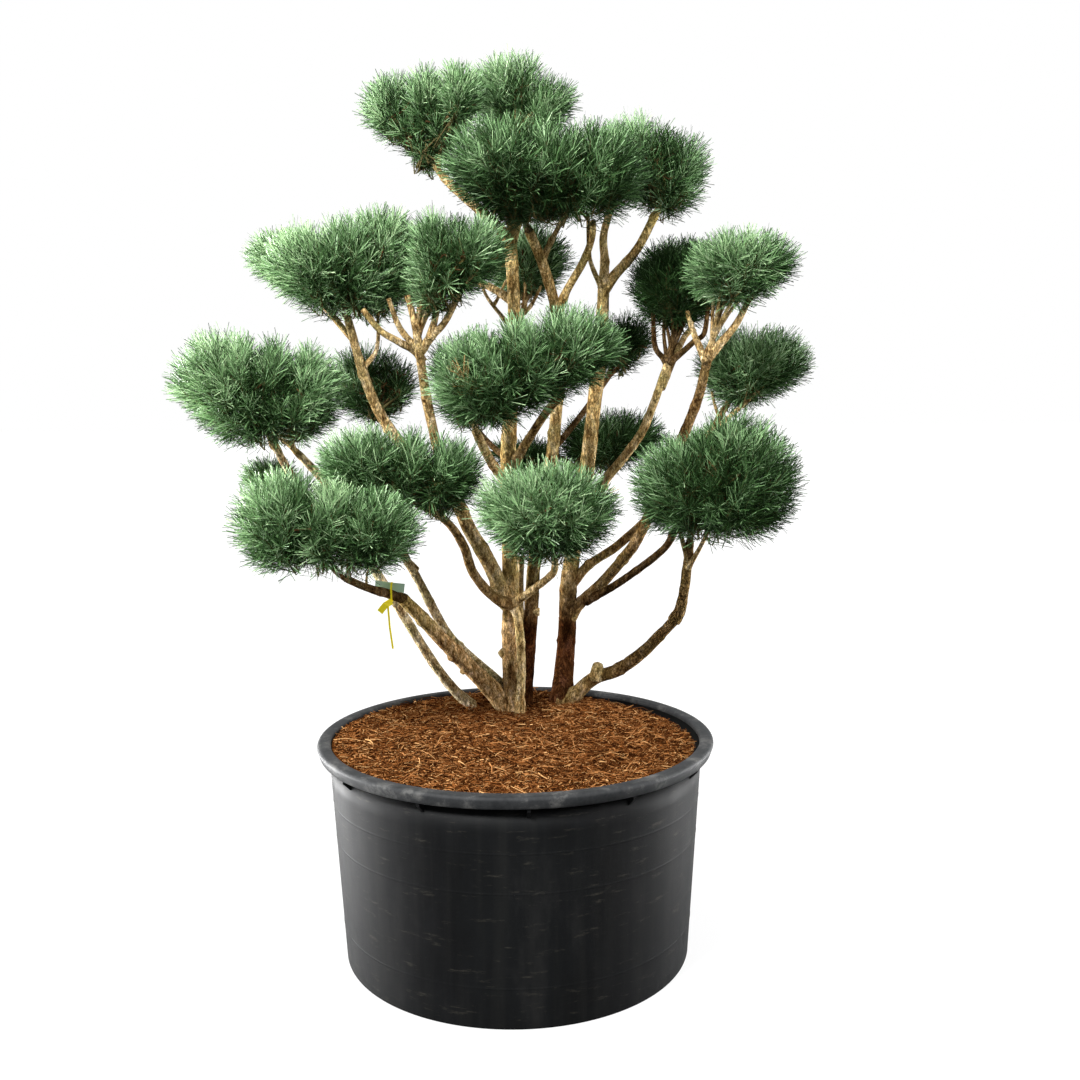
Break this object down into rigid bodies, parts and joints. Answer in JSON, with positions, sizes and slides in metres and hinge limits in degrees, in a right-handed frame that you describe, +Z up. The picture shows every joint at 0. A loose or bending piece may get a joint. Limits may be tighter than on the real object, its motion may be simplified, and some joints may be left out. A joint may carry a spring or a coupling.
{
  "type": "scots pine",
  "caption": "Many-stemmed pine with slim leaning trunks and clipped cloud pads of needles, in a round black nursery pot.",
  "frame": {"origin": "middle of the pot's flat underside, on the ground", "axes": "+Z up along the tree, -Y towards the viewer, +X to the viewer's right"},
  "size_m": [2.0126, 1.4, 2.8582],
  "materials": {
    "pot_plastic": "satin black, dusty, with fine raised rings",
    "coir": "rough orange-brown bark fibre",
    "bark_low": "rough dark brown bark",
    "bark_high": "flaking orange-brown bark",
    "needles": "matte blue-green needles",
    "needles_dark": "matte dark green needles"
  },
  "bodies": {
    "root": {"pot": "pot_plastic", "growing_medium": "coir", "trunk_left": "bark_high", "trunk_middle": "bark_high", "trunk_right": "bark_high", "low_stem_right": "bark_low", "low_stem_right_top": "bark_low", "low_stem_left": "bark_low", "low_bough_left": "bark_low", "left_stem": "bark_low", "far_left_stem": "bark_high", "front_stem": "bark_low", "low_bough_centre": "bark_low", "upper_bough_left": "bark_high", "middle_bough_left": "bark_low", "upper_bough_inner": "bark_high", "top_bough_left": "bark_high", "top_bough_back": "bark_high", "top_bough_middle": "bark_high", "top_bough_right": "bark_high", "top_bough_right_inner": "bark_high", "upper_bough_right": "bark_high", "low_bough_right": "bark_low", "right_bough": "bark_high", "upper_bough_right_inner": "bark_high", "centre_bough_right": "bark_high", "centre_bough_left": "bark_high", "rear_bough_top": "bark_high", "rear_bough_left": "bark_high", "rear_bough_right": "bark_high", "rear_bough_low_right": "bark_low", "rear_bough_low_left": "bark_low", "top_pad_left": "needles", "top_pad_back": "needles_dark", "top_pad_middle": "needles", "top_pad_right": "needles", "far_left_pad": "needles", "upper_pad_left": "needles", "upper_pad_inner": "needles", "upper_pad_back": "needles_dark", "left_pad": "needles", "left_pad_back": "needles_dark", "inner_pad_back": "needles_dark", "centre_pad": "needles", "centre_pad_back": "needles_dark", "upper_pad_right_inner": "needles", "upper_pad_right": "needles", "right_pad": "needles", "low_pad_back": "needles_dark", "low_pad_right": "needles", "low_pad_centre": "needles", "middle_pad_left": "needles", "low_pad_left": "needles", "small_pad_left": "needles", "rear_pad_top": "needles_dark", "rear_pad_left": "needles_dark", "rear_pad_right": "needles_dark", "rear_pad_low_right": "needles_dark", "rear_pad_low_left": "needles_dark"}
  },
  "joints": []
}
